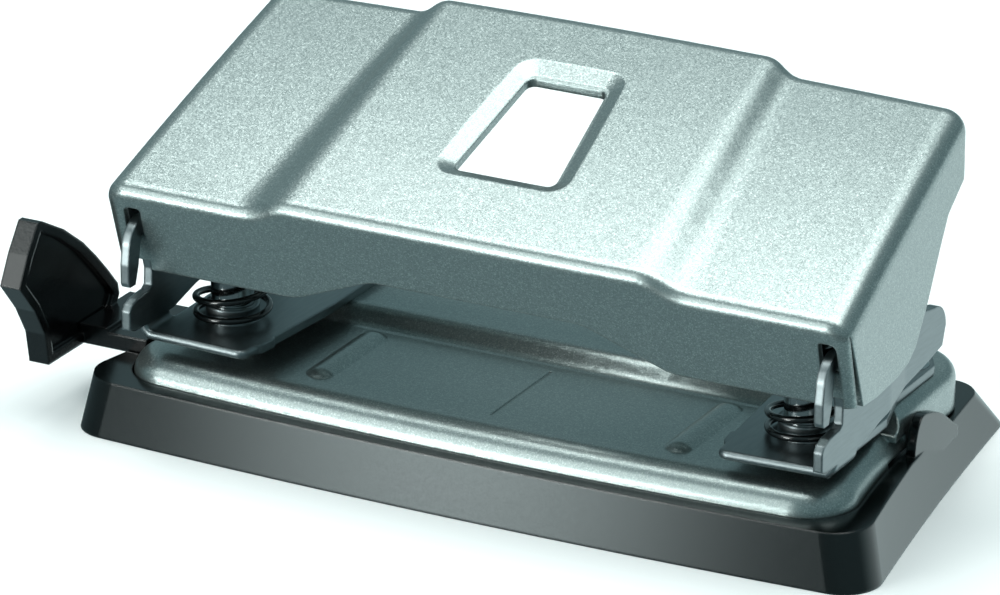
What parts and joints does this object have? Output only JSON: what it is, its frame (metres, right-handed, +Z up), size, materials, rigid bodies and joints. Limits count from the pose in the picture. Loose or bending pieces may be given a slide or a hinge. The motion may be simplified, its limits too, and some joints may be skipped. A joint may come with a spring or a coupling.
{
  "type": "two-hole punch",
  "caption": "Desk paper punch: a stepped sheet lever over sprung punch pins on a sheet base, with a chip tray clipped below and a paper guide that slides out at the side.",
  "frame": {"origin": "on the desk under the midpoint between the two punch pins", "axes": "+X along the row of holes, away from the paper guide's head; +Y to the rear, where the hand presses; +Z up"},
  "size_m": [0.1177, 0.0627, 0.0504],
  "materials": {
    "silver_paint": "satin metallic",
    "tray_plastic": "fine satin grain",
    "guide_plastic": "satin",
    "plated_sheet": "zinc plated",
    "rivet_steel": "plated",
    "pin_steel": "ground",
    "spring_steel": "black gloss"
  },
  "bodies": {
    "frame": {"base_plate": "silver_paint", "bracket_left": "plated_sheet", "bracket_right": "plated_sheet", "bracket_rivets_left": "rivet_steel", "bracket_rivets_right": "rivet_steel", "guide_keeper_outer": "plated_sheet", "guide_keeper_inner": "plated_sheet"},
    "lever": {"lever_cover": "silver_paint", "presser_left": "plated_sheet", "presser_right": "plated_sheet"},
    "pin_left": {"punch_pin_left": "pin_steel", "spring_washer_left": "pin_steel", "retaining_ring_left": "spring_steel", "return_spring_left": "spring_steel"},
    "pin_right": {"punch_pin_right": "pin_steel", "spring_washer_right": "pin_steel", "retaining_ring_right": "spring_steel", "return_spring_right": "spring_steel"},
    "guide": {"paper_guide": "guide_plastic"},
    "tray": {"base_tray": "tray_plastic"}
  },
  "joints": [
    {"name": "lever_hinge", "type": "hinge", "parent": "frame", "child": "lever", "pos_m": [0, -0.00947, 0.0264], "axis": [-1, 0, 0], "range_deg": [0, 27], "stiffness_Nm_per_rad": 0.5, "springref_deg": -17.19},
    {"name": "pin_left_slide", "type": "slide", "parent": "frame", "child": "pin_left", "axis": [0, 0, -1], "range_m": [0, 0.0048], "deforming": ["return_spring_left"]},
    {"name": "pin_right_slide", "type": "slide", "parent": "frame", "child": "pin_right", "axis": [0, 0, -1], "range_m": [0, 0.0048], "deforming": ["return_spring_right"]},
    {"name": "guide_slide", "type": "slide", "parent": "frame", "child": "guide", "axis": [-1, 0, 0], "range_m": [-0.0045, 0.073]},
    {"name": "tray_release", "type": "slide", "parent": "frame", "child": "tray", "axis": [0, 0, -1], "range_m": [0, 0.014]}
  ],
  "couplings": [
    {"joint": "pin_left_slide", "follows": "lever_hinge", "m_per_rad": 0.010186},
    {"joint": "pin_right_slide", "follows": "lever_hinge", "m_per_rad": 0.010186}
  ]
}
